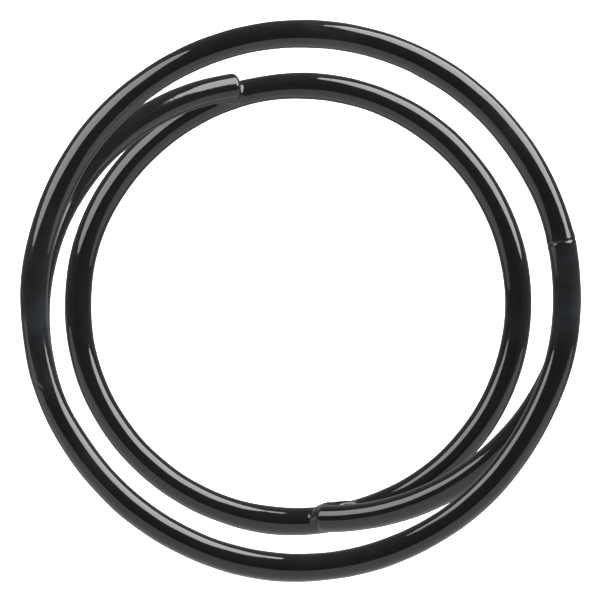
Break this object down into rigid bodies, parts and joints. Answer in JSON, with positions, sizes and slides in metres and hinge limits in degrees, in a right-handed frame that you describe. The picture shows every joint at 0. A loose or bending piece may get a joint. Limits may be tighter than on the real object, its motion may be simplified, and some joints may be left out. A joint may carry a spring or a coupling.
{
  "type": "coated double ring fence insulator",
  "caption": "Rigid insulated double ring for fence work: a larger and a smaller round ring of coated steel rod, 55 mm apart along their axis, joined by two spiral arms that climb from one to the other.",
  "frame": {"origin": "on the axis of the larger ring, at the plane the smaller ring rests on", "axes": "+Z along the axis of the rings, from the smaller ring to the larger; +X towards the straight seam on the larger ring; +Y completes a right-handed frame"},
  "size_m": [0.1629, 0.162, 0.063],
  "materials": {
    "coat": "glossy black dip coat",
    "steel": "drawn rod",
    "weld": "weld bead"
  },
  "bodies": {
    "root": {"outer_ring_coat": "coat", "inner_ring_coat": "coat", "left_arm_coat": "coat", "right_arm_coat": "coat", "left_inner_web": "coat", "left_outer_web": "coat", "right_inner_web": "coat", "right_outer_web": "coat", "outer_ring_upper_rod": "steel", "outer_ring_lower_rod": "steel", "inner_ring_rod": "steel", "left_arm_rod": "steel", "right_arm_rod": "steel", "outer_ring_right_butt_weld": "weld", "outer_ring_left_butt_weld": "weld", "inner_ring_butt_weld": "weld", "left_arm_inner_weld": "weld", "left_arm_outer_weld": "weld", "right_arm_inner_weld": "weld", "right_arm_outer_weld": "weld"}
  },
  "joints": []
}
